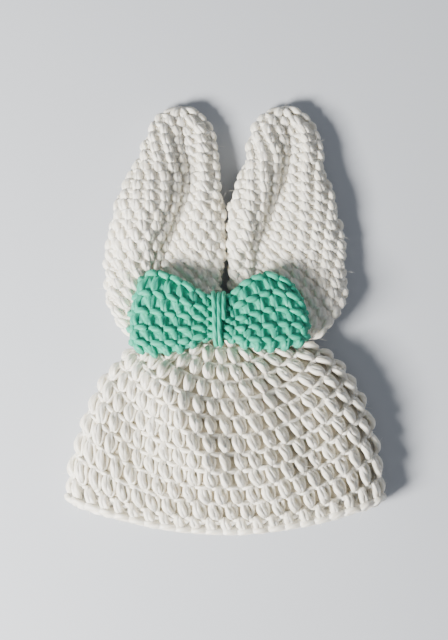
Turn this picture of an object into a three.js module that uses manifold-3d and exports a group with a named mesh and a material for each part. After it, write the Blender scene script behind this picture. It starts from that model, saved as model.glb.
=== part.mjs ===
// A crocheted baby hat with two rabbit ears and a bow, lying on its back as it does on a table.
// Millimetres, +Z up out of the table, +Y from the hem to the tips of the ears.
// The origin is on the table, under the middle of the hat.
import * as THREE from "three";
import { mergeVertices } from "three/addons/utils/BufferGeometryUtils.js";
import Module from "manifold-3d";

const wasm = await Module();
wasm.setup();

// Cloth
const CROWN_WALL = 5; // half double crochet in a worsted yarn
const EAR_THICKNESS = 8.5; // two layers of single crochet lying on each other
const GAP = 0.4; // between neighbouring pieces
const EDGING_DEPTH = 4.5; // of the last, tighter round
const EDGING_LIP = 0.7; // how far its rounded lip stands past its edges

// The crown is described by its rounds, from the middle of the top (0) to the hem (13).
// Each round is a flattened loop: its two folds are halfWidth to both sides of middleX, at y = sideY,
// and it passes over the middle of the front layer at frontY, frontZ and of the back layer at backY, backZ.
// sag says how it bends from its folds to its middle: more is straighter beside the folds.
const CROWN = [
  { at: 0, halfWidth: 0, middleX: 0.8, sideY: -1, foldZ: 9, frontY: -1, frontZ: 9, backY: -1, backZ: 9, sag: 1.5 },
  { at: 1, halfWidth: 10, middleX: 0.8, sideY: -1.4, foldZ: 9, frontY: -4.8, frontZ: 16, backY: -4, backZ: 2.6, sag: 1.5 },
  { at: 2, halfWidth: 20, middleX: 0.8, sideY: -2.6, foldZ: 9, frontY: -12, frontZ: 21, backY: -12, backZ: 0, sag: 1.5 },
  { at: 4, halfWidth: 39.4, middleX: 0.8, sideY: -7.8, foldZ: 9, frontY: -29, frontZ: 28, backY: -30, backZ: 0, sag: 1.5 },
  { at: 6, halfWidth: 55.8, middleX: 0.8, sideY: -17.6, foldZ: 8.8, frontY: -46.6, frontZ: 32.3, backY: -48, backZ: 0, sag: 1.5 },
  { at: 8, halfWidth: 67.8, middleX: 0.8, sideY: -34, foldZ: 8.5, frontY: -64.8, frontZ: 33.2, backY: -66, backZ: 0, sag: 1.6 },
  { at: 10, halfWidth: 76.2, middleX: 0.6, sideY: -55, foldZ: 8.2, frontY: -82.4, frontZ: 30.5, backY: -82.5, backZ: 0, sag: 1.8 },
  { at: 12, halfWidth: 81.2, middleX: 0, sideY: -80, foldZ: 8, frontY: -99.6, frontZ: 25.5, backY: -97.6, backZ: 0, sag: 2.1 },
  { at: 13, halfWidth: 82.2, middleX: 0, sideY: -94.2, foldZ: 8, frontY: -107.6, frontZ: 22.5, backY: -104, backZ: 0, sag: 2.2 },
];
const HEM_ROUND = 13;
const HEM_ROUND_DEPTH = 10; // of a whole round at the hem, between its folds and its middle
const SHALLOWEST_ROUND = 6.5; // in the middle of the back, at the hem
const CROWN_STEP = 0.8; // rounds between two rings of the mesh
const CROWN_SIDES = 48;
const ARCH_POWER = 0.8; // how full the front layer is beside its folds

// Soft ridges (height above 0) and dents (below 0) in the crown's front layer, each along a line.
const CROWN_FOLDS = [
  { x0: -34, y0: -24, x1: -8, y1: -72, width: 10, height: 5 },
  { x0: -52, y0: -36, x1: -46, y1: -66, width: 12, height: -4.8 },
  { x0: 30, y0: -28, x1: 46, y1: -68, width: 13, height: -3.4 },
  { x0: 22, y0: -78, x1: 58, y1: -86, width: 9, height: 2 },
];

// The ears, by sections across them from the base to the tip. outer and inner are the two edges,
// valley is the line where the ear dips to the table, and the ridges beside it rise by outerRim and innerRim.
const LEFT_EAR = [
  { y: -12, outer: -29, inner: -27, valley: -28, outerRim: 0, innerRim: 0 },
  { y: -10.5, outer: -37, inner: -18, valley: -28, outerRim: 0, innerRim: 0 },
  { y: -6.5, outer: -48.5, inner: -12, valley: -30, outerRim: 0.3, innerRim: 0 },
  { y: 0, outer: -55.8, inner: -7, valley: -33, outerRim: 0.5, innerRim: 0 },
  { y: 10, outer: -60, inner: -3.6, valley: -37, outerRim: 1.6, innerRim: 0.5 },
  { y: 20, outer: -62, inner: -2.4, valley: -38, outerRim: 4.4, innerRim: 2 },
  { y: 32, outer: -62, inner: -0.5, valley: -33, outerRim: 9.6, innerRim: 5 },
  { y: 45, outer: -60.2, inner: -0.5, valley: -28, outerRim: 14.2, innerRim: 7 },
  { y: 58, outer: -57.6, inner: -0.7, valley: -22.5, outerRim: 14.4, innerRim: 7 },
  { y: 70, outer: -53.4, inner: -3, valley: -18.5, outerRim: 12, innerRim: 5.6 },
  { y: 80, outer: -47.6, inner: -3.9, valley: -18.5, outerRim: 8.6, innerRim: 4 },
  { y: 90, outer: -43.6, inner: -5, valley: -21, outerRim: 5.6, innerRim: 2.8 },
  { y: 98.6, outer: -40.6, inner: -6.6, valley: -22, outerRim: 3, innerRim: 1.8 },
  { y: 105.4, outer: -36, inner: -10.8, valley: -23, outerRim: 1, innerRim: 1 },
  { y: 109.2, outer: -30.6, inner: -15.6, valley: -23, outerRim: 0.5, innerRim: 0.5 },
  { y: 111, outer: -23.8, inner: -22.2, valley: -23, outerRim: 0, innerRim: 0 },
];
const RIGHT_EAR = [
  { y: -12, outer: 28, inner: 26, valley: 27, outerRim: 0, innerRim: 0 },
  { y: -10.5, outer: 36, inner: 17, valley: 27, outerRim: 0, innerRim: 0 },
  { y: -6.5, outer: 46.5, inner: 11, valley: 28, outerRim: 0.2, innerRim: 0 },
  { y: 0, outer: 53.5, inner: 6.2, valley: 27, outerRim: 0.5, innerRim: 0 },
  { y: 10, outer: 60, inner: 3, valley: 22, outerRim: 1.4, innerRim: 1 },
  { y: 20, outer: 62.2, inner: 1.6, valley: 16, outerRim: 2.8, innerRim: 2.5 },
  { y: 32, outer: 62, inner: 0.5, valley: 14, outerRim: 4.6, innerRim: 5.6 },
  { y: 45, outer: 60.2, inner: 0.5, valley: 17, outerRim: 6, innerRim: 9 },
  { y: 58, outer: 57.8, inner: 1.2, valley: 23, outerRim: 6, innerRim: 10.4 },
  { y: 70, outer: 54, inner: 5, valley: 28, outerRim: 5.6, innerRim: 10 },
  { y: 80, outer: 50.6, inner: 8.8, valley: 31, outerRim: 5, innerRim: 8.4 },
  { y: 90, outer: 49.4, inner: 11, valley: 33.5, outerRim: 4.2, innerRim: 6 },
  { y: 98.6, outer: 47, inner: 12.4, valley: 33, outerRim: 2.6, innerRim: 3.4 },
  { y: 105.4, outer: 42.6, inner: 17.2, valley: 31, outerRim: 1, innerRim: 1 },
  { y: 109.2, outer: 38.4, inner: 22.2, valley: 31, outerRim: 0.5, innerRim: 0.5 },
  { y: 111, outer: 31.8, inner: 30.2, valley: 31, outerRim: 0, innerRim: 0 },
];
// Both ears come down from the top of the crown to the table: the height of their middle layer.
const EAR_LIFT = [
  { y: -12, z: 13 },
  { y: 4, z: 11.4 },
  { y: 14, z: 9.2 },
  { y: 26, z: 5.6 },
  { y: 36, z: 3.9 },
  { y: 111, z: 3.9 },
];
const EAR_RIDGE = 0.5; // of the way from the valley to the edge
const EAR_EDGE_FALL = 0.6; // of the ridge's height, from there to the edge
const EAR_RINGS = 24;
const EAR_SIDES = 28;

// The bow's gathered loop, by sections from its left fold to its right one, and the yarn round its middle.
const BOW = [
  { x: -47.4, low: -4, high: 2, half: 1.5, crease: 0, z: 22.9 },
  { x: -46.6, low: -10.4, high: 8, half: 3.6, crease: 0, z: 22.9 },
  { x: -43.6, low: -14.4, high: 18.8, half: 5.2, crease: 0.2, z: 23.2 },
  { x: -36.2, low: -17.1, high: 26.2, half: 6, crease: 0.7, z: 23.8 },
  { x: -28, low: -16.3, high: 23.8, half: 6.3, crease: 1.2, z: 24.4 },
  { x: -19, low: -13.9, high: 19.4, half: 6.6, crease: 1.8, z: 25 },
  { x: -10.5, low: -9.4, high: 14.4, half: 5, crease: 0.2, z: 25.4 },
  { x: -4, low: -8.4, high: 13, half: 4.4, crease: 0, z: 25.4 },
  { x: 2.5, low: -9.8, high: 14.8, half: 5, crease: 0.2, z: 25.4 },
  { x: 11, low: -13.4, high: 21.6, half: 6.6, crease: 1.8, z: 25.1 },
  { x: 21, low: -14.8, high: 25.4, half: 6.3, crease: 1.2, z: 24.6 },
  { x: 29.5, low: -13.6, high: 22.6, half: 6, crease: 0.7, z: 24.2 },
  { x: 36.3, low: -12, high: 15, half: 5, crease: 0.2, z: 23.8 },
  { x: 40.1, low: -7, high: 6, half: 3.4, crease: 0, z: 23.6 },
  { x: 41, low: -2.5, high: 1.5, half: 1.5, crease: 0, z: 23.6 },
];
const BOW_TILT = 0.24; // how much the bow falls, away from the crown's swell, for each millimetre of +Y
const BOW_MIDDLE_Y = 2.5;
const BOW_SQUARENESS = 0.6; // 1 is an ellipse, less is squarer
const BOW_CREASE_WIDTH = 5;
const BOW_RINGS = 30;
const BOW_SIDES = 32;
const WRAP_X = -3.6;
const WRAP_HALF_WIDTH = 4.1;
const WRAP_THICKNESS = 2.6;
const WRAP_RINGS = 32;
const WRAP_CORNERS = 10;

const WHITE = { color: 0xe9e6dd, roughness: 0.75, metalness: 0 };
const MINT = { color: 0x5fc9a3, roughness: 0.75, metalness: 0 };

// A smooth curve through one column of a table, with no overshoot between its rows.
function curve(table, key, column) {
  const x = table.map((row) => row[key]);
  const y = table.map((row) => row[column]);
  const rise = x.slice(1).map((next, i) => (y[i + 1] - y[i]) / (next - x[i]));
  const slope = x.map((_, i) => {
    if (i === 0) return rise[0];
    if (i === rise.length) return rise[i - 1];
    const [before, after] = [rise[i - 1], rise[i]];
    return before * after <= 0 ? 0 : (2 * before * after) / (before + after);
  });
  const last = rise.length;
  return (at) => {
    if (at < x[0]) return y[0] + slope[0] * (at - x[0]);
    if (at > x[last]) return y[last] + slope[last] * (at - x[last]);
    let i = 0;
    while (i < rise.length - 1 && at > x[i + 1]) i++;
    const span = x[i + 1] - x[i];
    const t = (at - x[i]) / span;
    const [t2, t3] = [t * t, t * t * t];
    return (
      y[i] * (2 * t3 - 3 * t2 + 1) +
      y[i + 1] * (3 * t2 - 2 * t3) +
      span * (slope[i] * (t3 - 2 * t2 + t) + slope[i + 1] * (t3 - t2))
    );
  };
}

// All the columns of a table as curves over its first one.
function curves(table, key) {
  const columns = Object.keys(table[0]).filter((name) => name !== key);
  return Object.fromEntries(columns.map((name) => [name, curve(table, key, name)]));
}

// A closed skin over rings of points. A ring of one point is a pole; a torus joins its last ring to its first.
function skin(rings, torus = false) {
  const position = [];
  const face = (...corners) => corners.forEach((p) => position.push(p.x, p.y, p.z));
  const strips = torus ? rings.length : rings.length - 1;
  const sides = Math.max(...rings.map((ring) => ring.length));
  for (let i = 0; i < strips; i++) {
    const here = rings[i];
    const next = rings[(i + 1) % rings.length];
    const on = (ring, j) => ring[ring.length === 1 ? 0 : j % sides];
    for (let j = 0; j < sides; j++) {
      if (next.length > 1) face(on(here, j), on(next, j), on(next, j + 1));
      if (here.length > 1) face(on(here, j), on(next, j + 1), on(here, j + 1));
    }
  }
  const geometry = new THREE.BufferGeometry();
  geometry.setAttribute("position", new THREE.Float32BufferAttribute(position, 3));
  return facingOut(geometry);
}

// The same closed skin with every face turned outwards.
function facingOut(geometry) {
  const position = geometry.attributes.position;
  const corner = (i) => new THREE.Vector3().fromBufferAttribute(position, i);
  let volume = 0;
  for (let i = 0; i < position.count; i += 3) {
    volume += corner(i).dot(corner(i + 1).cross(corner(i + 2))) / 6;
  }
  for (let i = 0; volume < 0 && i < position.count; i += 3) {
    const [second, third] = [corner(i + 1), corner(i + 2)];
    position.setXYZ(i + 1, third.x, third.y, third.z);
    position.setXYZ(i + 2, second.x, second.y, second.z);
  }
  return geometry;
}

function solid(geometry) {
  const merged = mergeVertices(geometry, 1e-3);
  const vertProperties = merged.attributes.position.array;
  const triVerts = new Uint32Array(merged.index.array);
  return new wasm.Manifold(new wasm.Mesh({ numProp: 3, vertProperties, triVerts }));
}

function geometryOf(manifold) {
  const mesh = manifold.getMesh();
  const geometry = new THREE.BufferGeometry();
  geometry.setAttribute("position", new THREE.BufferAttribute(mesh.vertProperties, 3));
  geometry.setIndex(new THREE.BufferAttribute(mesh.triVerts, 1));
  return geometry.toNonIndexed();
}

function node(name, geometry, finish) {
  geometry.computeVertexNormals();
  const mesh = new THREE.Mesh(geometry, new THREE.MeshStandardMaterial(finish));
  mesh.name = name;
  return mesh;
}

// How much of a round edge's height is reached at a distance in from the edge.
function roundEdge(distance, radius) {
  const share = 1 - Math.min(Math.max(distance, 0), radius) / radius;
  return Math.sqrt(1 - share * share);
}

// ---- crown ----
const crown = curves(CROWN, "at");

function foldHeight(x, y) {
  return CROWN_FOLDS.reduce((sum, fold) => {
    const [dx, dy] = [fold.x1 - fold.x0, fold.y1 - fold.y0];
    const along = ((x - fold.x0) * dx + (y - fold.y0) * dy) / (dx * dx + dy * dy);
    const t = THREE.MathUtils.clamp(along, 0, 1);
    const away = Math.hypot(x - fold.x0 - t * dx, y - fold.y0 - t * dy) / fold.width;
    return sum + fold.height * Math.exp(-away * away);
  }, 0);
}

// A guide curve moved inwards by depth, square to itself. It runs in a plane with coordinates a and b.
function inwards(a, b, at, depth, side) {
  const step = 0.05;
  const da = a(at + step) - a(at - step);
  const db = b(at + step) - b(at - step);
  const move = (side * depth) / Math.hypot(da, db);
  return [a(at) + move * db, b(at) - move * da];
}

// One round of the crown's wall, depth below its outer face.
function crownRing(at, depth) {
  const [halfWidth, sideY] = inwards(crown.halfWidth, crown.sideY, at, depth, 1);
  const [frontY, frontZ] = inwards(crown.frontY, crown.frontZ, at, depth, -1);
  const [backY, backZ] = inwards(crown.backY, crown.backZ, at, depth, 1);
  const foldZ = crown.foldZ(at);
  const power = crown.sag(at);
  const middleX = crown.middleX(at);
  const foldRadius = Math.min(foldZ - backZ, halfWidth);
  return Array.from({ length: CROWN_SIDES }, (_, j) => {
    const angle = (2 * Math.PI * j) / CROWN_SIDES;
    const away = halfWidth * Math.cos(angle);
    const x = middleX + away;
    const rise = Math.abs(Math.sin(angle));
    const sag = rise ** power;
    if (Math.sin(angle) >= 0) {
      const y = sideY + (frontY - sideY) * sag;
      const z = foldZ + (frontZ - foldZ) * rise ** ARCH_POWER;
      return new THREE.Vector3(x, y, z + foldHeight(x, y) * rise);
    }
    const y = sideY + (backY - sideY) * sag;
    const z = foldZ - (foldZ - backZ) * roundEdge(halfWidth - Math.abs(away), foldRadius);
    return new THREE.Vector3(x, y, Math.max(z, depth));
  });
}

function crownPole(depth) {
  return [new THREE.Vector3(crown.middleX(0), crown.sideY(0) - depth, crown.foldZ(0))];
}

function steps(from, to, step) {
  const count = Math.round((to - from) / step);
  return Array.from({ length: count + 1 }, (_, i) => from + ((to - from) * i) / count);
}

const EDGING_FROM = HEM_ROUND - EDGING_DEPTH / HEM_ROUND_DEPTH;
const CROWN_TO = EDGING_FROM - GAP / SHALLOWEST_ROUND;

function crownGeometry() {
  const outer = steps(0.5, CROWN_TO, CROWN_STEP);
  const inner = steps(0.7, CROWN_TO, CROWN_STEP).reverse();
  return skin([
    crownPole(0),
    ...outer.map((at) => crownRing(at, 0)),
    ...inner.map((at) => crownRing(at, CROWN_WALL)),
    crownPole(CROWN_WALL),
  ]);
}

// The crown's outer form, filled and grown, which the ears are cut clear of.
function crownEnvelope(grow) {
  const rings = steps(0.5, HEM_ROUND, CROWN_STEP);
  return solid(skin([crownPole(-grow), ...rings.map((at) => crownRing(at, -grow)), hemMiddle()]));
}

function hemMiddle() {
  return [new THREE.Vector3(0, crown.backY(HEM_ROUND), crown.foldZ(HEM_ROUND))];
}

function edgingGeometry() {
  const middle = CROWN_WALL / 2;
  const lip = HEM_ROUND + EDGING_LIP / HEM_ROUND_DEPTH;
  const between = HEM_ROUND - EDGING_LIP / HEM_ROUND_DEPTH;
  const profile = [
    [EDGING_FROM, 0.4],
    [between, 0],
    [HEM_ROUND, 0.9],
    [lip, middle],
    [HEM_ROUND, CROWN_WALL - 0.9],
    [between, CROWN_WALL],
    [EDGING_FROM, CROWN_WALL - 0.4],
  ];
  return skin(profile.map(([at, depth]) => crownRing(at, depth)), true);
}

// ---- ears ----
const earLift = curve(EAR_LIFT, "y", "z");

// From the valley (0) to the ear's edge (1): a rise to a ridge beside the edge, and a little down again.
function ridge(share) {
  const at = Math.min(Math.max(share, 0), 1);
  if (at < EAR_RIDGE) return Math.sin((Math.PI / 2) * (at / EAR_RIDGE)) ** 1.1;
  return 1 - EAR_EDGE_FALL * ((at - EAR_RIDGE) / (1 - EAR_RIDGE)) ** 2;
}

function earRing(ear, y, tipY) {
  const [outer, inner, valley] = [ear.outer(y), ear.inner(y), ear.valley(y)];
  const middle = (outer + inner) / 2;
  const half = (inner - outer) / 2;
  const radius = Math.min(EAR_THICKNESS / 2, Math.abs(half));
  const tipTaper = roundEdge(tipY - y, EAR_THICKNESS);
  return Array.from({ length: EAR_SIDES }, (_, j) => {
    const angle = (2 * Math.PI * j) / EAR_SIDES;
    const x = middle + half * Math.cos(angle);
    const towardsInner = (x - valley) / (inner - valley);
    const towardsOuter = (x - valley) / (outer - valley);
    const rim = towardsInner > 0 ? ear.innerRim(y) * ridge(towardsInner) : ear.outerRim(y) * ridge(towardsOuter);
    const edge = Math.abs(half) * (1 - Math.abs(Math.cos(angle)));
    const thick = radius * roundEdge(edge, radius) * tipTaper;
    const z = earLift(y) + rim + Math.sign(Math.sin(angle)) * thick;
    return new THREE.Vector3(x, y, Math.max(z, 0));
  });
}

function earGeometry(table) {
  const ear = curves(table, "y");
  const baseY = table[0].y;
  const tipY = table[table.length - 1].y;
  const between = Array.from({ length: EAR_RINGS }, (_, i) => {
    const share = (i + 1) / (EAR_RINGS + 1);
    return baseY + (tipY - baseY) * (0.5 - 0.5 * Math.cos(Math.PI * share));
  });
  const pole = (y) => [new THREE.Vector3(ear.valley(y), y, earLift(y))];
  const rings = between.map((y) => earRing(ear, y, tipY));
  const whole = solid(skin([pole(tipY), ...rings.reverse(), pole(baseY)]));
  return geometryOf(whole.subtract(crownEnvelope(GAP)));
}

// ---- bow ----
const bow = curves(BOW, "x");

// A point of the bow's section at x, grown outwards by grow.
function bowPoint(x, angle, grow) {
  const halfHeight = (bow.high(x) - bow.low(x)) / 2 + grow;
  const halfThickness = bow.half(x) + grow;
  const middleY = (bow.high(x) + bow.low(x)) / 2;
  const square = (value) => Math.sign(value) * Math.abs(value) ** BOW_SQUARENESS;
  const y = middleY + halfHeight * square(Math.cos(angle));
  const across = (y - middleY) / BOW_CREASE_WIDTH;
  const crease = Math.sin(angle) > 0 ? bow.crease(x) * Math.exp(-across * across) : 0;
  const z = bow.z(x) - BOW_TILT * (y - BOW_MIDDLE_Y) + halfThickness * square(Math.sin(angle)) - crease;
  return new THREE.Vector3(x, y, z);
}

function bowGeometry() {
  const [left, right] = [BOW[0].x, BOW[BOW.length - 1].x];
  const middle = (left + right) / 2;
  const pole = (x, out) => {
    const y = (bow.high(x) + bow.low(x)) / 2;
    return [new THREE.Vector3(x + out, y, bow.z(x) - BOW_TILT * (y - BOW_MIDDLE_Y))];
  };
  const rings = Array.from({ length: BOW_RINGS + 1 }, (_, i) => {
    const x = middle - ((right - left) / 2) * Math.cos((Math.PI * i) / BOW_RINGS);
    return Array.from({ length: BOW_SIDES }, (__, j) => bowPoint(x, (2 * Math.PI * j) / BOW_SIDES, 0));
  });
  return skin([pole(left, -0.4), ...rings, pole(right, 0.4)]);
}

// A band of wound yarn: a flat, round-edged section carried round the bow's middle.
function wrapGeometry() {
  const rings = Array.from({ length: WRAP_RINGS }, (_, i) => {
    const angle = (2 * Math.PI * i) / WRAP_RINGS;
    return Array.from({ length: WRAP_CORNERS }, (__, j) => {
      const turn = (2 * Math.PI * (j + 0.5)) / WRAP_CORNERS;
      const across = Math.sign(Math.cos(turn)) * Math.abs(Math.cos(turn)) ** BOW_SQUARENESS;
      const out = Math.sign(Math.sin(turn)) * Math.abs(Math.sin(turn)) ** BOW_SQUARENESS;
      return bowPoint(WRAP_X + WRAP_HALF_WIDTH * across, angle, 1.2 * GAP + (WRAP_THICKNESS / 2) * (1 + out));
    });
  });
  return skin(rings, true);
}

// The pieces, moved so that the origin is on the table under the middle of the hat.
const hat = new THREE.Group();
hat.add(node("crown", crownGeometry(), WHITE));
hat.add(node("hem_edging", edgingGeometry(), WHITE));
hat.add(node("ear_left", earGeometry(LEFT_EAR), WHITE));
hat.add(node("ear_right", earGeometry(RIGHT_EAR), WHITE));
hat.add(node("bow_loop", bowGeometry(), MINT));
hat.add(node("bow_wrap", wrapGeometry(), MINT));

const box = new THREE.Box3().setFromObject(hat);
const middle = box.getCenter(new THREE.Vector3());
hat.children.forEach((piece) => piece.geometry.translate(-middle.x, -middle.y, -box.min.z));

export default hat;
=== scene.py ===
"""A crocheted baby hat with two rabbit ears and a bow, lying on its back.

Each part is built as crochet: yarn is laid stitch by stitch over the middle of the part's cloth.
Forms are worked out in millimetres, and mesh_piece turns them into Blender's metres."""

import math

import bpy
import numpy as np
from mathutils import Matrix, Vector


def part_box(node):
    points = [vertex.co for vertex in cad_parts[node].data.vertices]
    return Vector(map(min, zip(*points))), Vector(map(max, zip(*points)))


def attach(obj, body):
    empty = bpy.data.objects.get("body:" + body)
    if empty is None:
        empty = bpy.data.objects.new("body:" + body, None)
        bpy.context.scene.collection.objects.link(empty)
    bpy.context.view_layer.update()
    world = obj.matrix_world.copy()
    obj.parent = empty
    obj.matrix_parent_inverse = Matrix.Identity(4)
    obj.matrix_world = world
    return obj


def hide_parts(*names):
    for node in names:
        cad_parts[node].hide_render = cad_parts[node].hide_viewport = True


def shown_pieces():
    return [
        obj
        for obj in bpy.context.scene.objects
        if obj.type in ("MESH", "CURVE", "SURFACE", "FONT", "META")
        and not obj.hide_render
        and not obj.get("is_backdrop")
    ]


MM = 0.001
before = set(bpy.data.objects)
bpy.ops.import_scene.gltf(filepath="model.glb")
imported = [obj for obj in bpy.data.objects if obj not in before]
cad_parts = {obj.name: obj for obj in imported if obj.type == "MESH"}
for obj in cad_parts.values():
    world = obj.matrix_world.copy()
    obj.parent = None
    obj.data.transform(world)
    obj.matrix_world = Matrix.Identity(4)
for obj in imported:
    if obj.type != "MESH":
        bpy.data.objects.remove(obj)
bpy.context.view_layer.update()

# ---------------------------------------------------------------- the cloth's form, in millimetres
CROWN_WALL = 5.0
EAR_THICKNESS = 8.5
EAR_TIP = 111.0
EAR_EDGE_FALL = 0.6  # of an ear's ridge, lost between the ridge and the edge
FRONT_SWELL = 0.8  # how fast the crown's front rises from its side folds: 1 is a half circle

# Rounds of the crown from the middle of the top (0) to the hem (13): folds, front layer, back layer.
CROWN = dict(
    at=[0, 1, 2, 4, 6, 8, 10, 12, 13],
    half_width=[0, 10, 20, 39.4, 55.8, 67.8, 76.2, 81.2, 82.2],
    middle_x=[0.8, 0.8, 0.8, 0.8, 0.8, 0.8, 0.6, 0, 0],
    side_y=[-1, -1.4, -2.6, -7.8, -17.6, -34, -55, -80, -94.2],
    fold_z=[9, 9, 9, 9, 8.8, 8.5, 8.2, 8, 8],
    front_y=[-1, -4.8, -12, -29, -46.6, -64.8, -82.4, -99.6, -107.6],
    front_z=[9, 16, 21, 28, 32.3, 33.2, 30.5, 25.5, 22.5],
    back_y=[-1, -4, -12, -30, -48, -66, -82.5, -97.6, -104],
    back_z=[9, 2.6, 0, 0, 0, 0, 0, 0, 0],
    sag=[1.5, 1.5, 1.5, 1.5, 1.5, 1.6, 1.8, 2.1, 2.2],
)
# Soft ridges and dents of the front layer: a line, its width and its height.
CROWN_FOLDS = [
    (-34, -24, -8, -72, 10, 5),
    (-52, -36, -46, -66, 12, -4.8),
    (30, -28, 46, -68, 13, -3.4),
    (22, -78, 58, -86, 9, 2),
]
# Sections across the ears from the base to the tip.
LEFT_EAR = dict(
    y=[-12, -10.5, -6.5, 0, 10, 20, 32, 45, 58, 70, 80, 90, 98.6, 105.4, 109.2, 111],
    outer=[-29, -37, -48.5, -55.8, -60, -62, -62, -60.2, -57.6, -53.4, -47.6, -43.6, -40.6, -36, -30.6, -23.8],
    inner=[-27, -18, -12, -7, -3.6, -2.4, -0.5, -0.5, -0.7, -3, -3.9, -5, -6.6, -10.8, -15.6, -22.2],
    valley=[-28, -28, -30, -33, -37, -38, -33, -28, -22.5, -18.5, -18.5, -21, -22, -23, -23, -23],
    outer_rim=[0, 0, 0.3, 0.5, 1.6, 4.4, 9.6, 14.2, 14.4, 12, 8.6, 5.6, 3, 1, 0.5, 0],
    inner_rim=[0, 0, 0, 0, 0.5, 2, 5, 7, 7, 5.6, 4, 2.8, 1.8, 1, 0.5, 0],
)
RIGHT_EAR = dict(
    y=[-12, -10.5, -6.5, 0, 10, 20, 32, 45, 58, 70, 80, 90, 98.6, 105.4, 109.2, 111],
    outer=[28, 36, 46.5, 53.5, 60, 62.2, 62, 60.2, 57.8, 54, 50.6, 49.4, 47, 42.6, 38.4, 31.8],
    inner=[26, 17, 11, 6.2, 3, 1.6, 0.5, 0.5, 1.2, 5, 8.8, 11, 12.4, 17.2, 22.2, 30.2],
    valley=[27, 27, 28, 27, 22, 16, 14, 17, 23, 28, 31, 33.5, 33, 31, 31, 31],
    outer_rim=[0, 0, 0.2, 0.5, 1.4, 2.8, 4.6, 6, 6, 5.6, 5, 4.2, 2.6, 1, 0.5, 0],
    inner_rim=[0, 0, 0, 0, 1, 2.5, 5.6, 9, 10.4, 10, 8.4, 6, 3.4, 1, 0.5, 0],
)
EAR_LIFT = dict(y=[-12, 4, 14, 26, 36, 111], z=[13, 11.4, 9.2, 5.6, 3.9, 3.9])
# Sections across the bow from its left fold to its right one.
BOW = dict(
    x=[-47.4, -46.6, -43.6, -36.2, -28, -19, -10.5, -4, 2.5, 11, 21, 29.5, 36.3, 40.1, 41],
    low=[-4, -10.4, -14.4, -17.1, -16.3, -13.9, -9.4, -8.4, -9.8, -13.4, -14.8, -13.6, -12, -7, -2.5],
    high=[2, 8, 18.8, 26.2, 23.8, 19.4, 14.4, 13, 14.8, 21.6, 25.4, 22.6, 15, 6, 1.5],
    half=[1.5, 3.6, 5.2, 6, 6.3, 6.6, 5, 4.4, 5, 6.6, 6.3, 6, 5, 3.4, 1.5],
    crease=[0, 0, 0.2, 0.7, 1.2, 1.8, 0.2, 0, 0.2, 1.8, 1.2, 0.7, 0.2, 0, 0],
    z=[22.9, 22.9, 23.2, 23.8, 24.4, 25, 25.4, 25.4, 25.4, 25.1, 24.6, 24.2, 23.8, 23.6, 23.6],
)
BOW_TILT = 0.24
BOW_MIDDLE_Y = 2.5
BOW_FULL = (-37, 31)  # between these the bow's thickness follows its table; the folds round it off


def curve(table, key, column):
    """A smooth curve through one column of a table, with no overshoot between its rows."""
    x = np.array(table[key], float)
    y = np.array(table[column], float)
    rise = np.diff(y) / np.diff(x)
    before, after = rise[:-1], rise[1:]
    total = np.where(before + after == 0, 1, before + after)
    inner = np.where(before * after <= 0, 0, 2 * before * after / total)
    slope = np.concatenate([[rise[0]], inner, [rise[-1]]])

    def at(value):
        value = np.asarray(value, float)
        i = np.clip(np.searchsorted(x, value, side="left") - 1, 0, len(rise) - 1)
        span = x[i + 1] - x[i]
        t = np.clip((value - x[i]) / span, 0, 1)
        smooth = (
            y[i] * (2 * t**3 - 3 * t**2 + 1)
            + y[i + 1] * (3 * t**2 - 2 * t**3)
            + span * (slope[i] * (t**3 - 2 * t**2 + t) + slope[i + 1] * (t**3 - t**2))
        )
        below = np.where(value < x[0], (value - x[0]) * slope[0], 0)
        above = np.where(value > x[-1], (value - x[-1]) * slope[-1], 0)
        return smooth + (below + above)

    return at


def curves(table, key):
    """A curve for every column of a table but its key."""
    return {name: curve(table, key, name) for name in table if name != key}


crown_at = curves(CROWN, "at")
left_ear_at = curves(LEFT_EAR, "y")
right_ear_at = curves(RIGHT_EAR, "y")
ear_lift = curve(EAR_LIFT, "y", "z")
bow_at = curves(BOW, "x")
# The CAD part's own origin is under the middle of its box, which is this far from the tables' origin.
SHIFT_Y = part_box("ear_left")[1][1] / MM - EAR_TIP


def round_edge(distance, radius):
    """The height of a rounded edge, from 0 at the edge to 1 a radius away from it."""
    share = 1 - np.clip(distance, 0, radius) / radius
    return np.sqrt(np.maximum(1 - share * share, 0))


def crown_line(at, depth, angle):
    """One round of the crown's cloth, depth below its outer face."""
    step = 0.05

    def inwards(a, b, side):
        da = crown_at[a](at + step) - crown_at[a](at - step)
        db = crown_at[b](at + step) - crown_at[b](at - step)
        move = side * depth / math.hypot(da, db)
        return crown_at[a](at) + move * db, crown_at[b](at) - move * da

    half_width, side_y = inwards("half_width", "side_y", 1)
    front_y, front_z = inwards("front_y", "front_z", -1)
    back_y, back_z = inwards("back_y", "back_z", 1)
    half_width = max(half_width, 0.4)
    fold_z = crown_at["fold_z"](at)
    away = half_width * np.cos(angle)
    x = crown_at["middle_x"](at) + away
    rise = np.abs(np.sin(angle))
    sag = rise ** crown_at["sag"](at)
    front = side_y + (front_y - side_y) * sag
    lift = np.zeros_like(x)
    for x0, y0, x1, y1, width, height in CROWN_FOLDS:
        dx, dy = x1 - x0, y1 - y0
        t = np.clip(((x - x0) * dx + (front - y0) * dy) / (dx * dx + dy * dy), 0, 1)
        off = np.hypot(x - x0 - t * dx, front - y0 - t * dy) / width
        lift += height * np.exp(-off * off)
    high = fold_z + (front_z - fold_z) * rise**FRONT_SWELL + lift * rise
    drop = fold_z - back_z
    low = fold_z - drop * round_edge(half_width - np.abs(away), min(drop, half_width))
    upper = np.sin(angle) >= 0
    y = np.where(upper, front, side_y + (back_y - side_y) * sag)
    return np.stack([x, y + SHIFT_Y, np.where(upper, high, np.maximum(low, depth))], -1)


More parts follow.
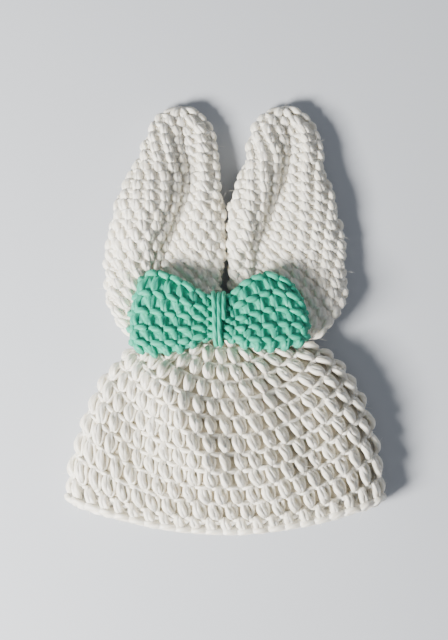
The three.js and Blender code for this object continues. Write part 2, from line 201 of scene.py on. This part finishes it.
def ridge(share):
    """From an ear's valley (0) to its edge (1): up to a ridge beside the edge and a little down again."""
    share = np.clip(share, 0, 1)
    climb = np.sin(np.pi * np.minimum(share, 0.5)) ** 1.1
    return np.where(share < 0.5, climb, 1 - EAR_EDGE_FALL * (2 * share - 1) ** 2)


def ear_line(ear, y, depth, angle):
    """A line of the ear's cloth; y may differ from point to point."""
    outer, inner, valley = ear["outer"](y), ear["inner"](y), ear["valley"](y)
    middle = (outer + inner) / 2
    whole = (inner - outer) / 2
    half = np.sign(whole) * np.maximum(np.abs(whole) - depth, 0.5)
    radius = np.minimum(EAR_THICKNESS / 2, np.abs(whole))
    x = middle + half * np.cos(angle)
    to_inner = (x - valley) / (inner - valley)
    to_outer = (x - valley) / (outer - valley)
    inner_rim, outer_rim = ear["inner_rim"](y) * ridge(to_inner), ear["outer_rim"](y) * ridge(to_outer)
    rim = np.where(to_inner > 0, inner_rim, outer_rim)
    edge = np.abs(half) * (1 - np.abs(np.cos(angle)))
    tip = round_edge(EAR_TIP - y, EAR_THICKNESS)
    thick = np.maximum(radius - depth, 0.3) * round_edge(edge, np.maximum(radius, 0.5)) * tip
    z = ear_lift(y) + rim + np.sign(np.sin(angle)) * thick
    return np.stack([x, y + SHIFT_Y, z], -1)


# ---------------------------------------------------------------- yarn laid over a cloth
def resampled(line, count):
    """A closed line with its points evenly spaced along it."""
    closed = np.vstack([line, line[:1]])
    length = np.concatenate([[0], np.cumsum(np.linalg.norm(np.diff(closed, axis=0), axis=1))])
    at = np.linspace(0, length[-1], count, endpoint=False)
    return np.stack([np.interp(at, length, closed[:, k]) for k in range(3)], -1), length[-1]


class Cloth:
    """The middle surface of a tube of crochet: rows of evenly spaced points, one row per step of v."""

    def __init__(self, lines, per_round, samples=360):
        rows = [resampled(line, samples) for line in lines]
        self.p = np.array([r[0] for r in rows])
        self.length = np.array([r[1] for r in rows])
        self.per_round = per_round
        du = np.roll(self.p, -1, 1) - np.roll(self.p, 1, 1)
        dv = np.gradient(self.p, axis=0)
        n = np.cross(du, dv)
        n /= np.maximum(np.linalg.norm(n, axis=2, keepdims=True), 1e-9)
        for _ in range(2):
            n = n + 0.5 * (np.roll(n, 1, 1) + np.roll(n, -1, 1))
            n /= np.maximum(np.linalg.norm(n, axis=2, keepdims=True), 1e-9)
        self.n = n

    def round_length(self, v):
        return float(np.interp(v * self.per_round, np.arange(len(self.length)), self.length))

    def at(self, u, v, c):
        """Points at u (0 to 1 along the round) and v (in rounds), c millimetres out of the cloth."""
        rows, cols = self.p.shape[:2]
        fv = np.clip(np.asarray(v) * self.per_round, -0.4, rows - 0.6)
        fu = (np.asarray(u) % 1.0) * cols
        i = np.clip(np.floor(fv).astype(int), 0, rows - 2)
        j = np.floor(fu).astype(int) % cols
        tv, tu = (fv - i)[:, None], (fu - np.floor(fu))[:, None]
        k = (j + 1) % cols

        def mix(grid):
            here = grid[i, j] * (1 - tu) + grid[i, k] * tu
            beyond = grid[i + 1, j] * (1 - tu) + grid[i + 1, k] * tu
            return here * (1 - tv) + beyond * tv

        n = mix(self.n)
        n /= np.maximum(np.linalg.norm(n, axis=1, keepdims=True), 1e-9)
        return mix(self.p) + n * np.asarray(c)[:, None]


# One stitch's yarn: along the round (in stitches), up the round (in rounds), out of the cloth (in mm)
# and how thick the yarn lies there.
SINGLE = np.array(
    [
        (0.5, 1.0, -0.8, 0.8), (0.15, 0.5, -1.6, 0.8), (0.15, 0.05, -1.4, 0.8), (0.14, -0.12, 0.2, 0.9),
        (0.14, 0.1, 1.7, 1.1), (0.1, 0.45, 2.3, 1.25), (0.0, 0.8, 1.6, 1.1), (-0.1, 1.0, -0.1, 0.9),
        (-0.22, 0.82, 1.4, 1.1), (-0.12, 0.45, 2.2, 1.25), (0.0, 0.1, 1.7, 1.1), (0.03, -0.12, 0.2, 0.9),
        (0.0, 0.1, -1.5, 0.8), (-0.1, 0.6, -1.6, 0.8), (0.0, 0.95, -0.6, 0.8),
        (-0.5, 1.0, -0.9, 0.85), (-0.95, 1.02, -0.2, 0.9), (-0.5, 1.03, 0.9, 1.0), (-0.05, 1.0, 0.8, 0.95),
    ]
)
HALF_DOUBLE = np.array(
    [
        (0.5, 1.0, -0.8, 0.8), (0.1, 0.95, -0.8, 0.8), (-0.22, 0.86, 0.0, 0.8), (-0.32, 0.62, 0.2, 0.8),
        (-0.3, 0.36, 0.2, 0.8), (-0.2, 0.14, -0.2, 0.8), (0.0, 0.0, -1.4, 0.8), (0.18, -0.02, -0.6, 0.8),
        (0.26, 0.12, 0.9, 0.9), (0.25, 0.3, 2.0, 1.08), (0.15, 0.5, 2.5, 1.2), (0.02, 0.7, 2.0, 1.08),
        (-0.1, 0.86, 0.5, 0.85), (-0.13, 0.74, 1.4, 0.95), (-0.05, 0.52, 2.2, 1.08), (0.07, 0.3, 1.8, 0.95),
        (0.14, 0.12, 0.9, 0.9), (0.1, -0.04, -0.4, 0.8), (0.0, 0.15, -1.6, 0.8), (-0.1, 0.6, -1.7, 0.8),
        (-0.05, 0.97, -0.9, 0.8), (-0.5, 1.0, -0.9, 0.85), (-0.95, 1.02, -0.7, 0.85), (-0.5, 1.02, 0.4, 0.85),
        (-0.1, 1.0, -0.2, 0.85),
    ]
)
# The bow's stitches are pulled open: one post and a raised chain that climbs from stitch to stitch.
OPEN = np.array(
    [
        (0.5, 1.0, -0.4, 0.9), (0.25, 0.88, 0.3, 0.9), (0.12, 0.65, 1.3, 1.1), (0.14, 0.34, 1.4, 1.15),
        (0.16, 0.08, 0.4, 1.0), (0.1, -0.06, -1.0, 0.8), (0.02, 0.08, 0.4, 1.0), (0.0, 0.35, 1.5, 1.15),
        (-0.03, 0.66, 1.3, 1.1), (-0.08, 0.9, 0.0, 0.9), (-0.3, 1.0, -0.8, 0.85), (-0.95, 1.02, -0.5, 0.85),
        (-0.92, 1.08, 0.8, 1.0), (-0.5, 1.01, 1.7, 1.2), (-0.08, 0.93, 1.6, 1.2),
    ]
)
CHAIN = np.array(
    [
        (0.3, 0.5, -0.9, 1.0), (-0.1, 0.72, -1.4, 1.0), (-0.6, 0.62, -0.9, 1.0), (-0.95, 0.5, 0.1, 1.0),
        (-0.6, 0.38, 1.1, 1.0), (-0.1, 0.3, 1.5, 1.1), (0.22, 0.45, 0.7, 1.0),
    ]
)


def catmull(points, spacing):
    """A smooth line through points, resampled evenly."""
    p = np.vstack([2 * points[0] - points[1], points, 2 * points[-1] - points[-2]])
    t = np.linspace(0, 1, 6, endpoint=False)[None, :, None]
    a, b, c, d = (p[k : len(p) - 3 + k][:, None, :] for k in range(4))
    square, cube = 2 * a - 5 * b + 4 * c - d, 3 * b - a - 3 * c + d
    line = 0.5 * (2 * b + (c - a) * t + square * t**2 + cube * t**3)
    line = np.vstack([line.reshape(-1, points.shape[1]), points[-1:]])
    length = np.concatenate([[0], np.cumsum(np.linalg.norm(np.diff(line[:, :3], axis=0), axis=1))])
    at = np.linspace(0, length[-1], max(int(length[-1] / spacing), 4))
    return np.stack([np.interp(at, length, line[:, k]) for k in range(line.shape[1])], -1), at


def tube(points, radius, sides, spacing, floor=None):
    """Vertices, faces and UVs of one closed tube. U is along the yarn in centimetres, V once round it."""
    line, length = catmull(points, spacing)
    n = len(line)
    r = radius * (line[:, 3] if line.shape[1] == 4 else np.ones(n))
    line = line[:, :3]
    tangent = np.gradient(line, axis=0)
    tangent /= np.maximum(np.linalg.norm(tangent, axis=1, keepdims=True), 1e-9)
    side = np.zeros_like(line)
    first = np.cross(tangent[0], (0.3, 0.5, 0.81))
    side[0] = first / np.linalg.norm(first)
    for i in range(1, n):
        s = side[i - 1] - tangent[i] * (side[i - 1] @ tangent[i])
        side[i] = s / max(math.sqrt(s @ s), 1e-9)
    up = np.cross(tangent, side)
    angle = 2 * np.pi * np.arange(sides) / sides
    across = np.cos(angle)[None, :, None] * side[:, None, :] + np.sin(angle)[None, :, None] * up[:, None, :]
    ring = line[:, None, :] + r[:, None, None] * across
    start_cap = line[:1] - tangent[:1] * r[0] * 0.5
    end_cap = line[-1:] + tangent[-1:] * r[-1] * 0.5
    verts = np.vstack([ring.reshape(-1, 3), start_cap, end_cap])
    if floor is not None:
        verts[:, 2] = np.maximum(verts[:, 2], floor)
    i = np.arange(n - 1)[:, None] * sides
    j = np.arange(sides)[None, :]
    k = (j + 1) % sides
    quads = np.stack([i + j, i + k, i + sides + k, i + sides + j], -1).reshape(-1, 4)
    u0 = np.repeat(length[:-1] / 10, sides)
    u1 = np.repeat(length[1:] / 10, sides)
    v0 = np.tile(np.arange(sides) / sides, n - 1)
    v1 = v0 + 1 / sides
    quad_uv = np.stack([np.stack(corner, -1) for corner in ((u0, v0), (u0, v1), (u1, v1), (u1, v0))], 1)
    start, end = n * sides, n * sides + 1
    jj = np.arange(sides)
    kk = (jj + 1) % sides
    last = (n - 1) * sides
    tris = np.vstack(
        [
            np.stack([np.full(sides, start), kk, jj], -1),
            np.stack([np.full(sides, end), last + jj, last + kk], -1),
        ]
    )
    tri_uv = np.zeros((len(tris), 3, 2))
    return verts, quads, tris, quad_uv, tri_uv


def mesh_piece(name, parts, material):
    """One object from parts in millimetres, each its vertices, faces and UVs."""
    verts, loops, starts, totals, uvs = [], [], [], [], []
    vertex_count = loop_count = 0
    for v, quads, tris, quad_uv, tri_uv in parts:
        for faces, uv in ((quads, quad_uv), (tris, tri_uv)):
            size = faces.shape[1]
            loops.append((faces + vertex_count).ravel())
            starts.append(loop_count + np.arange(len(faces)) * size)
            totals.append(np.full(len(faces), size))
            uvs.append(uv.reshape(-1, 2))
            loop_count += faces.size
        verts.append(v)
        vertex_count += len(v)
    verts = np.vstack(verts) * MM
    loops, starts, totals, uvs = (np.concatenate(x) for x in (loops, starts, totals, uvs))
    mesh = bpy.data.meshes.new(name)
    mesh.vertices.add(len(verts))
    mesh.vertices.foreach_set("co", verts.astype(np.float32).ravel())
    mesh.loops.add(len(loops))
    mesh.loops.foreach_set("vertex_index", loops.astype(np.int32))
    mesh.polygons.add(len(starts))
    mesh.polygons.foreach_set("loop_start", starts.astype(np.int32))
    mesh.polygons.foreach_set("loop_total", totals.astype(np.int32))
    mesh.polygons.foreach_set("use_smooth", np.ones(len(starts), bool))
    layer = mesh.uv_layers.new(name="yarn")
    layer.data.foreach_set("uv", uvs.astype(np.float32).ravel())
    mesh.update(calc_edges=True)
    mesh.validate()
    mesh.materials.append(material)
    piece = bpy.data.objects.new(name, mesh)
    bpy.context.scene.collection.objects.link(piece)
    triangles = int((totals - 2).sum())
    print(name, triangles, "triangles")
    return piece


DRIFT = 0.3  # of a stitch, how far each round of the crown starts beyond the last


def stitches(cloth, first, last, counts, path, rng, phase=0.0, drift=DRIFT, swell=1.0, wobble=0.22):
    """The yarn's path over rounds first..last, as one line of points over the cloth.
    counts gives each round's stitches, and each round starts drift of a stitch further on.
    swell scales how far the yarn stands off the cloth, and wobble is its unevenness in mm."""
    line = []
    for r in range(first, last + 1):
        count = counts[r]
        phase = phase + drift / count
        i = np.arange(count)
        post = (i + 0.5) / count + phase
        jitter = rng.normal(0, 1, (count, len(path), 3)) * np.array([0.02, 0.025, wobble])
        lean = rng.normal(0, 0.035, (count, 1))
        size = 1 + rng.normal(0, 0.05, (count, 1))
        a = path[None, :, 0] * size + jitter[..., 0]
        b = path[None, :, 1] + jitter[..., 1]
        c = path[None, :, 2] * swell + jitter[..., 2]
        u = post[:, None] + (a + lean * np.clip(b, 0, 1)) / count
        v = (r - 1) + b
        # Stitches run one way round, so each one's path is laid from its far side to its near one.
        order = i[::-1]
        points = cloth.at(u[order].ravel(), v[order].ravel(), c[order].ravel())
        line.append(np.hstack([points, np.tile(path[:, 3], count)[:, None]]))
    return np.vstack(line)


# ---------------------------------------------------------------- yarn
PLIES = 3
PLY_TURN = 0.7  # centimetres of yarn in one turn of its plies


def yarn_material(name, colour, groove, halo, roughness, sheen):
    """Plied yarn: twisted plies along the strand, fine fibres across them, and a faint sparkle."""
    material = bpy.data.materials.new(name)
    material.use_nodes = True
    nodes, links = material.node_tree.nodes, material.node_tree.links
    shader = nodes["Principled BSDF"]
    shader.inputs["Roughness"].default_value = roughness
    shader.inputs["Specular IOR Level"].default_value = 0.4
    shader.inputs["Sheen Weight"].default_value = sheen
    shader.inputs["Subsurface Weight"].default_value = 0.4
    shader.inputs["Subsurface Radius"].default_value = (1.0, 0.9, 0.75)
    shader.inputs["Subsurface Scale"].default_value = 0.0012
    shader.inputs["Sheen Roughness"].default_value = 0.45
    shader.inputs["Sheen Tint"].default_value = (*halo, 1)
    uv = nodes.new("ShaderNodeUVMap")
    uv.uv_map = "yarn"
    split = nodes.new("ShaderNodeSeparateXYZ")
    links.new(uv.outputs[0], split.inputs[0])

    def maths(kind, a, b=None, c=None):
        node = nodes.new("ShaderNodeMath")
        node.operation = kind
        for slot, value in enumerate((a, b, c)):
            if value is None:
                continue
            if isinstance(value, (int, float)):
                node.inputs[slot].default_value = value
            else:
                links.new(value, node.inputs[slot])
        return node.outputs[0]

    around = maths("MULTIPLY", split.outputs[1], 2 * math.pi * PLIES)
    turn = maths("MULTIPLY_ADD", split.outputs[0], 2 * math.pi / PLY_TURN, around)
    ply = maths("MULTIPLY_ADD", maths("SINE", turn), 0.5, 0.5)
    place = nodes.new("ShaderNodeTexCoord")
    fibre = nodes.new("ShaderNodeTexNoise")
    fibre.inputs["Scale"].default_value = 2600
    fibre.inputs["Detail"].default_value = 3
    links.new(place.outputs["Object"], fibre.inputs["Vector"])
    slow = nodes.new("ShaderNodeTexNoise")
    slow.inputs["Scale"].default_value = 90
    slow.inputs["Detail"].default_value = 2
    links.new(place.outputs["Object"], slow.inputs["Vector"])
    height = maths("MULTIPLY_ADD", fibre.outputs[0], 0.5, ply)
    bump = nodes.new("ShaderNodeBump")
    bump.inputs["Strength"].default_value = 0.55
    bump.inputs["Distance"].default_value = 0.0004
    links.new(height, bump.inputs["Height"])
    links.new(bump.outputs[0], shader.inputs["Normal"])
    # The base colour runs from the groove colour to the yarn's colour: darker in the plies' grooves as painted
    # shade, and darker or lighter at random with the slow and fine noise as the yarn's own uneven tone.
    fine = maths("MULTIPLY", fibre.outputs[0], 0.35)
    shade = maths("MULTIPLY_ADD", ply, 0.45, maths("MULTIPLY_ADD", slow.outputs[0], 0.9, fine))
    ramp = nodes.new("ShaderNodeValToRGB")
    ramp.color_ramp.elements[0].position = 0.25
    ramp.color_ramp.elements[0].color = (*groove, 1)
    ramp.color_ramp.elements[1].position = 0.85
    ramp.color_ramp.elements[1].color = (*colour, 1)
    links.new(shade, ramp.inputs[0])
    links.new(ramp.outputs[0], shader.inputs["Base Color"])
    # Bright filaments catch the light here and there.
    fleck = nodes.new("ShaderNodeTexNoise")
    fleck.inputs["Scale"].default_value = 900
    links.new(place.outputs["Object"], fleck.inputs["Vector"])
    gloss = nodes.new("ShaderNodeMapRange")
    gloss.inputs["From Min"].default_value = 0.58
    gloss.inputs["From Max"].default_value = 0.66
    gloss.inputs["To Min"].default_value = roughness
    gloss.inputs["To Max"].default_value = roughness * 0.45
    links.new(fleck.outputs[0], gloss.inputs["Value"])
    links.new(gloss.outputs[0], shader.inputs["Roughness"])
    return material


# The backings' materials paint light and shade between the strands: a much darker white on the crown's backing
# paints shade into its gaps, a slightly darker, warmer white on the ears' backings paints a little shade into
# theirs, and a lighter mint on the bow's backing paints light into its holes.
WHITE_HALO = (1.0, 0.98, 0.95)
MINT_HALO = (0.5, 0.95, 0.75)
# Each yarn's second colour is the painted shade of its plies' grooves, also reached where the noise runs dark.
WHITE = yarn_material("white_yarn", (0.93, 0.895, 0.8), (0.64, 0.595, 0.48), WHITE_HALO, 0.5, 0.25)
WHITE_GAP_SHADE = yarn_material("white_yarn_gap_shade", (0.88, 0.84, 0.74), (0.62, 0.575, 0.47), WHITE_HALO, 0.8, 0.2)
WHITE_SHADE_CORE = yarn_material("white_yarn_shade_core", (0.62, 0.57, 0.46), (0.39, 0.355, 0.275), WHITE_HALO, 0.85, 0.15)
MINT = yarn_material("mint_yarn", (0.026, 0.395, 0.26), (0.01, 0.27, 0.178), MINT_HALO, 0.6, 0.12)
MINT_HOLE_LIGHT = yarn_material("mint_yarn_hole_light", (0.06, 0.52, 0.37), (0.03, 0.42, 0.29), MINT_HALO, 0.85, 0.1)

HAIR_TAPER = (1.0, 0.9, 0.7, 0.35)
HAIR_ROOT = 0.9  # mm from the middle of the yarn


def fuzz(lines, count, rng, reach, radius=0.085, floor=0.09):
    """Loose fibres standing off the yarn, as one mesh's worth of thin closed hairs."""
    centre = np.vstack(lines)
    pick = rng.integers(2, len(centre) - 3, count)
    at = centre[pick]
    along = centre[pick + 1] - centre[pick - 1]
    along /= np.maximum(np.linalg.norm(along, axis=1, keepdims=True), 1e-6)
    out = rng.normal(0, 1, (count, 3))
    out -= along * (out * along).sum(1, keepdims=True)
    out /= np.maximum(np.linalg.norm(out, axis=1, keepdims=True), 1e-6)
    length = reach * (0.4 + rng.random((count, 1)) ** 2)
    lean = along * rng.choice([-1.0, 1.0], (count, 1)) * (0.3 + rng.random((count, 1)))
    bend = rng.normal(0, 0.35, (count, 3))
    parts = [at + out * HAIR_ROOT]
    for t in (0.35, 0.7, 1.0):
        parts.append(at + out * (HAIR_ROOT + length * t) + (lean * t + bend * t * t) * length)
    ring = []
    side = np.cross(out, along)
    for k, p in enumerate(parts):
        r = radius * HAIR_TAPER[k]
        for a in range(3):
            w = 2 * math.pi * a / 3
            ring.append(p + r * (math.cos(w) * side + math.sin(w) * along))
    verts = np.stack(ring, 1).reshape(-1, 3)
    verts[:, 2] = np.maximum(verts[:, 2], floor)
    base = (np.arange(count) * 12)[:, None]
    quads, tris = [], []
    for s in range(3):
        for a in range(3):
            b = (a + 1) % 3
            quads.append(base + np.array([[3 * s + a, 3 * s + b, 3 * s + 3 + b, 3 * s + 3 + a]]))
    tris = np.vstack([base + np.array([[0, 2, 1]]), base + np.array([[9, 10, 11]])])
    quads = np.vstack(quads)
    return verts, quads, tris, np.zeros((len(quads), 4, 2)), np.zeros((len(tris), 3, 2))


SKIN_HALF = 0.35  # half the thickness of a backing


def backing(name, cloth, first, last, depth, material, slot, around=110):
    """A thin closed skin in the middle of the cloth, which closes the view between the strands; its material paints
    the light and shade seen there.
    """
    v = np.linspace(first, last, int((last - first) * 2) + 1)
    u = np.arange(around) / around
    rows = [cloth.at(u, np.full(around, k), np.full(around, depth + SKIN_HALF)) for k in v]
    rows += [cloth.at(u, np.full(around, k), np.full(around, depth - SKIN_HALF)) for k in v[::-1]]
    grid = np.array(rows)
    grid[..., 2] = np.maximum(grid[..., 2], 0.3)
    n = len(rows)
    row = np.arange(n)[:, None] * around
    next_row = (row + around) % (n * around)
    j = np.arange(around)[None, :]
    k = (j + 1) % around
    quads = np.stack([row + j, next_row + j, next_row + k, row + k], -1).reshape(-1, 4)
    flat = grid.reshape(-1, 3)
    uv = np.stack([np.tile(np.arange(around), n), np.repeat(np.arange(n), around)], -1)[quads] * 0.35
    no_tris = np.zeros((0, 3), int), np.zeros((0, 3, 2))
    return finished(mesh_piece(name, [(flat, quads, no_tris[0], uv, no_tris[1])], material), slot)


def finished(piece, slot, *nodes):
    """Ride the piece on the hat's one body and let it stand for CAD nodes; its slot argument is not used."""
    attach(piece, "root")
    if nodes:
        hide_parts(*nodes)
    return piece


AROUND = 2 * np.pi * np.arange(480) / 480 - np.pi / 2  # from the middle of the back, up the right fold
YARN = 1.5  # radius of the yarn in the crown
SIDES = 6  # round the yarn
STEP = 1.35  # along the yarn
TABLE = 0.02  # nothing goes lower than this


def yarn_piece(name, lines, material, slot, *nodes):
    """One piece of yarn that may touch the table, from lines and their radii."""
    tubes = [tube(line, radius, SIDES, STEP, floor=TABLE) for line, radius in lines]
    return finished(mesh_piece(name, tubes, material), slot, *nodes)


# ---- crown
STITCH_WIDTH = 7.9
crown = Cloth([crown_line(max(v, 0.15), CROWN_WALL / 2, AROUND) for v in np.arange(0, 12.01, 0.5)], 2)
crown_counts = {r: max(7, round(crown.round_length(r) / STITCH_WIDTH)) for r in range(1, 13)}
print("crown rounds", crown_counts, "lengths", [round(crown.round_length(r)) for r in range(1, 13)])
rng = np.random.default_rng(7)
phase = 0.0
crown_lines = []
for name, first, last in (("crown_top", 1, 6), ("crown_middle", 7, 9), ("crown_lower", 10, 12)):
    line = stitches(crown, first, last, crown_counts, HALF_DOUBLE, rng, phase=phase, swell=0.95)
    phase += sum(DRIFT / crown_counts[r] for r in range(first, last + 1))
    crown_lines.append(line)
    yarn_piece(name, [(line, YARN)], WHITE, "white_yarn", "crown")

# The crown's backing is painted shade: a dark brownish white that darkens the gaps between the stitches.
backing("crown_shade_backing", crown, 0.6, 11.9, -1.3, WHITE_SHADE_CORE, "white_yarn", 160)

hem = Cloth([crown_line(at, CROWN_WALL / 2, AROUND) for at in np.linspace(12, 12.6, 4)], 3)
hem_count = crown_counts[12]
line = stitches(hem, 1, 1, {1: hem_count}, SINGLE, rng, phase=phase, swell=0.7)
lip = Cloth([crown_line(at, CROWN_WALL / 2, AROUND) for at in np.linspace(12.45, 13.03, 3)], 2)
chain = stitches(lip, 1, 1, {1: hem_count}, CHAIN, rng, phase=phase, swell=1.5, wobble=0.12)
yarn_piece("hem_edging_yarn", [(line, YARN), (chain, YARN * 1.2)], WHITE, "white_yarn", "hem_edging")
crown_lines += [line, chain]

# ---- ears, each a tube of single crochet worked from its tip and laid flat
EAR_STITCH = 6.9
EAR_ROUND = 4.9
EAR_ROUNDS = 24
EAR_YARN = 1.45
EAR_YARN_DEPTH = 1.75  # of the yarn's middle below the ear's face
ear_lines = {}
for side, ear, cell in (("left", left_ear_at, AROUND), ("right", right_ear_at, np.pi - AROUND)):
    lines = []
    for v in np.arange(0, EAR_ROUNDS + 0.01, 0.5):
        down = 0.2 + v * EAR_ROUND
        y = EAR_TIP - down * (1 - 0.42 * math.exp(-down / 16) * np.cos(cell) ** 2)
        lines.append(ear_line(ear, np.maximum(y, -11.0), EAR_YARN_DEPTH, cell))
    cloth = Cloth(lines, 2)
    counts = {r: max(6, round(cloth.round_length(r - 0.2) / EAR_STITCH)) for r in range(1, EAR_ROUNDS + 1)}
    print("ear", side, counts)
    rng = np.random.default_rng(21 if side == "left" else 22)
    line = stitches(cloth, 1, EAR_ROUNDS, counts, SINGLE, rng, drift=0.23, swell=0.62, wobble=0.15)
    ear_lines[side] = line
    yarn_piece("ear_%s_yarn" % side, [(line, EAR_YARN)], WHITE, "white_yarn", "ear_" + side)
    # The ears' backings are painted shade: a slightly darker, warmer white in the gaps between the stitches.
    backing("ear_%s_backing" % side, cloth, 0.8, EAR_ROUNDS - 0.1, 0.45, WHITE_GAP_SHADE, "white_yarn")

# ---- bow: a band of rows folded into a loop, its rows running along it
BOW_ROWS = 5
BOW_YARN = 1.55
BOW_STITCH = 7.1
BOW_YARN_DEPTH = 2.0
# Where the yarn turns at the bow's two folds, from its lower edge to its upper one.
BOW_LEFT = [(-43.6, -13.0), (-46.6, -7.5), (-47.2, 1.0), (-45.6, 10.5), (-41.6, 21.5)]
BOW_RIGHT = [(37.2, -9.9), (39.6, -5.0), (40.0, 1.5), (37.6, 9.5), (32.4, 17.8)]


def bow_line(v, share):
    """Row line v (0 is the bow's lower edge, 1 its upper one) round the loop, share from 0 to 1."""
    front = share < 0.5
    s = np.where(front, share * 2, 2 - share * 2)
    s = 0.5 - 0.5 * np.cos(np.pi * s)
    left, right = (np.array(side, float) for side in (BOW_LEFT, BOW_RIGHT))
    knots = np.linspace(0, 1, 5)

    def fold(points, t):
        return np.stack([np.interp(t, knots, points[:, 0]), np.interp(t, knots, points[:, 1])], -1)

    def edge(column, inset, t):
        a, b = (left[-1], right[-1]) if column == "high" else (left[0], right[0])
        x = a[0] + (b[0] - a[0]) * t
        y = bow_at[column](x) + inset
        at_left, at_right = a[1] - bow_at[column](a[0]) - inset, b[1] - bow_at[column](b[0]) - inset
        y = y + at_left * np.exp(-t * 12) + at_right * np.exp(-(1 - t) * 12)
        return np.stack([x, y], -1)

    low, high = edge("low", 1.3, s), edge("high", -1.3, s)
    l, r = fold(left, v), fold(right, v)
    sv = s[:, None]
    corners = (1 - sv) * (1 - v) * left[0] + (1 - sv) * v * left[-1]
    corners = corners + sv * (1 - v) * right[0] + sv * v * right[-1]
    p = (1 - v) * low + v * high + (1 - sv) * l + sv * r - corners
    x, y = p[:, 0], p[:, 1]
    half = bow_at["half"](np.clip(x, *BOW_FULL)) - BOW_YARN_DEPTH
    off_fold = np.minimum(np.linalg.norm(p - l, axis=1), np.linalg.norm(p - r, axis=1))
    half = half * round_edge(off_fold, np.maximum(half, 0.5)) * (1 - 0.3 * abs(2 * v - 1) ** 4)
    groove = bow_at["crease"](x) * np.exp(-(((y - (low[:, 1] + high[:, 1]) / 2) / 5.0) ** 2))
    z = bow_at["z"](x) - BOW_TILT * (y - BOW_MIDDLE_Y) + np.where(front, half - groove, -half)
    return np.stack([x, y + SHIFT_Y, z], -1)


share = np.arange(960) / 960
bow = Cloth([bow_line(v, share) for v in np.linspace(0, 1, BOW_ROWS * 2 + 1)], 2)
bow_count = round(bow.round_length(BOW_ROWS / 2) / BOW_STITCH)
print("bow stitches a row", bow_count)
rng = np.random.default_rng(33)
bow_counts = {r: bow_count for r in range(1, BOW_ROWS + 1)}
line = stitches(bow, 1, BOW_ROWS, bow_counts, OPEN, rng, drift=0.0, swell=0.85, wobble=0.2)
# The bow's backing is painted light: a lighter mint than the yarn, which brightens the holes between the stitches.
backing("bow_light_backing", bow, 0.2, BOW_ROWS - 0.2, 0.75, MINT_HOLE_LIGHT, "mint_yarn", 120)
bow_lines = [line]
finished(mesh_piece("bow_loop_yarn", [tube(line, BOW_YARN, SIDES, STEP)], MINT), "mint_yarn", "bow_loop")

# ---- the yarn wound round the bow's middle
WRAP_TURNS = 2
WRAP_FROM, WRAP_TO = -6.7, -0.8
WRAP_YARN = 1.3
WRAP_SIDES = 8
WRAP_STEP = 1.2


def wrap_path(rng):
    """The yarn's path round the bow's middle, a little uneven."""
    turns = WRAP_TURNS + 0.5
    t = np.linspace(0, 1, int(turns * 26))
    angle = 2 * np.pi * turns * t + math.pi * 1.5
    x = WRAP_FROM + (WRAP_TO - WRAP_FROM) * t + np.interp(t, np.linspace(0, 1, 12), rng.normal(0, 0.3, 12))
    low, high, half = bow_at["low"](x), bow_at["high"](x), bow_at["half"](x)

    def square(value):
        return np.sign(value) * np.abs(value) ** 0.72

    grow = 0.4 + BOW_YARN + np.interp(t, np.linspace(0, 1, 17), rng.normal(0.15, 0.15, 17))
    y = (low + high) / 2 + ((high - low) / 2 + grow) * square(np.cos(angle))
    z = bow_at["z"](x) - BOW_TILT * (y - BOW_MIDDLE_Y) + (half + grow) * square(np.sin(angle))
    return np.stack([x, y + SHIFT_Y, z], -1)


line = wrap_path(np.random.default_rng(5))
bow_lines.append(line)
finished(mesh_piece("bow_wrap_yarn", [tube(line, WRAP_YARN, WRAP_SIDES, WRAP_STEP)], MINT), "mint_yarn", "bow_wrap")

# ---- loose fibres
rng = np.random.default_rng(11)
hairs = 6800
for name, lines, count, reach, material, slot in (
    ("crown_fibres", crown_lines, hairs, 2.6, WHITE, "white_yarn"),
    ("ear_fibres", ear_lines.values(), hairs, 2.6, WHITE, "white_yarn"),
    ("bow_fibres", bow_lines, hairs // 4, 1.6, MINT, "mint_yarn"),
):
    dense = [catmull(line, 1.3)[0][:, :3] for line in lines]
    finished(mesh_piece(name, [fuzz(dense, count, rng, reach)], material), slot)

# ---------------------------------------------------------------- the studio
floor_material = bpy.data.materials.new("studio_floor")
floor_material.use_nodes = True
shader = floor_material.node_tree.nodes["Principled BSDF"]
shader.inputs["Base Color"].default_value = (0.5, 0.53, 0.58, 1)
shader.inputs["Roughness"].default_value = 0.9
shader.inputs["Specular IOR Level"].default_value = 0.2
bpy.ops.mesh.primitive_plane_add(size=12, location=(0, 0, -0.0003))
floor = bpy.context.object
floor.name = "studio_floor"
floor.data.materials.append(floor_material)
floor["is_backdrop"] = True


def area_light(name, place, target, size, power, colour):
    """A square lamp at place, facing target."""
    light = bpy.data.lights.new(name, "AREA")
    light.size = size
    light.energy = power
    light.color = colour
    lamp = bpy.data.objects.new(name, light)
    bpy.context.scene.collection.objects.link(lamp)
    lamp.location = place
    lamp.rotation_euler = (Vector(target) - Vector(place)).to_track_quat("-Z", "Y").to_euler()


area_light("key", (-0.66, -0.36, 0.56), (0, -0.01, 0.01), 0.3, 37, (1.0, 0.965, 0.91))
area_light("fill", (0.8, 0.5, 0.9), (0, 0, 0.01), 1.0, 2, (0.93, 0.96, 1.0))
world = bpy.data.worlds.new("studio")
bpy.context.scene.world = world
world.use_nodes = True
world.node_tree.nodes["Background"].inputs[0].default_value = (0.9, 0.93, 1.0, 1)
world.node_tree.nodes["Background"].inputs[1].default_value = 0.24

camera_data = bpy.data.cameras.new("camera")
camera_data.sensor_width = 36
camera_data.lens = 66.2
camera = bpy.data.objects.new("camera", camera_data)
bpy.context.scene.collection.objects.link(camera)
camera.location = (-0.001, 0.0, 0.615)
camera.rotation_euler = (0, 0, 0)
bpy.context.scene.camera = camera

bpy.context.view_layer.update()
meshes = [piece.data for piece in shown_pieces() if piece.type == "MESH"]
print("triangles in all", sum(len(face.vertices) - 2 for mesh in meshes for face in mesh.polygons))
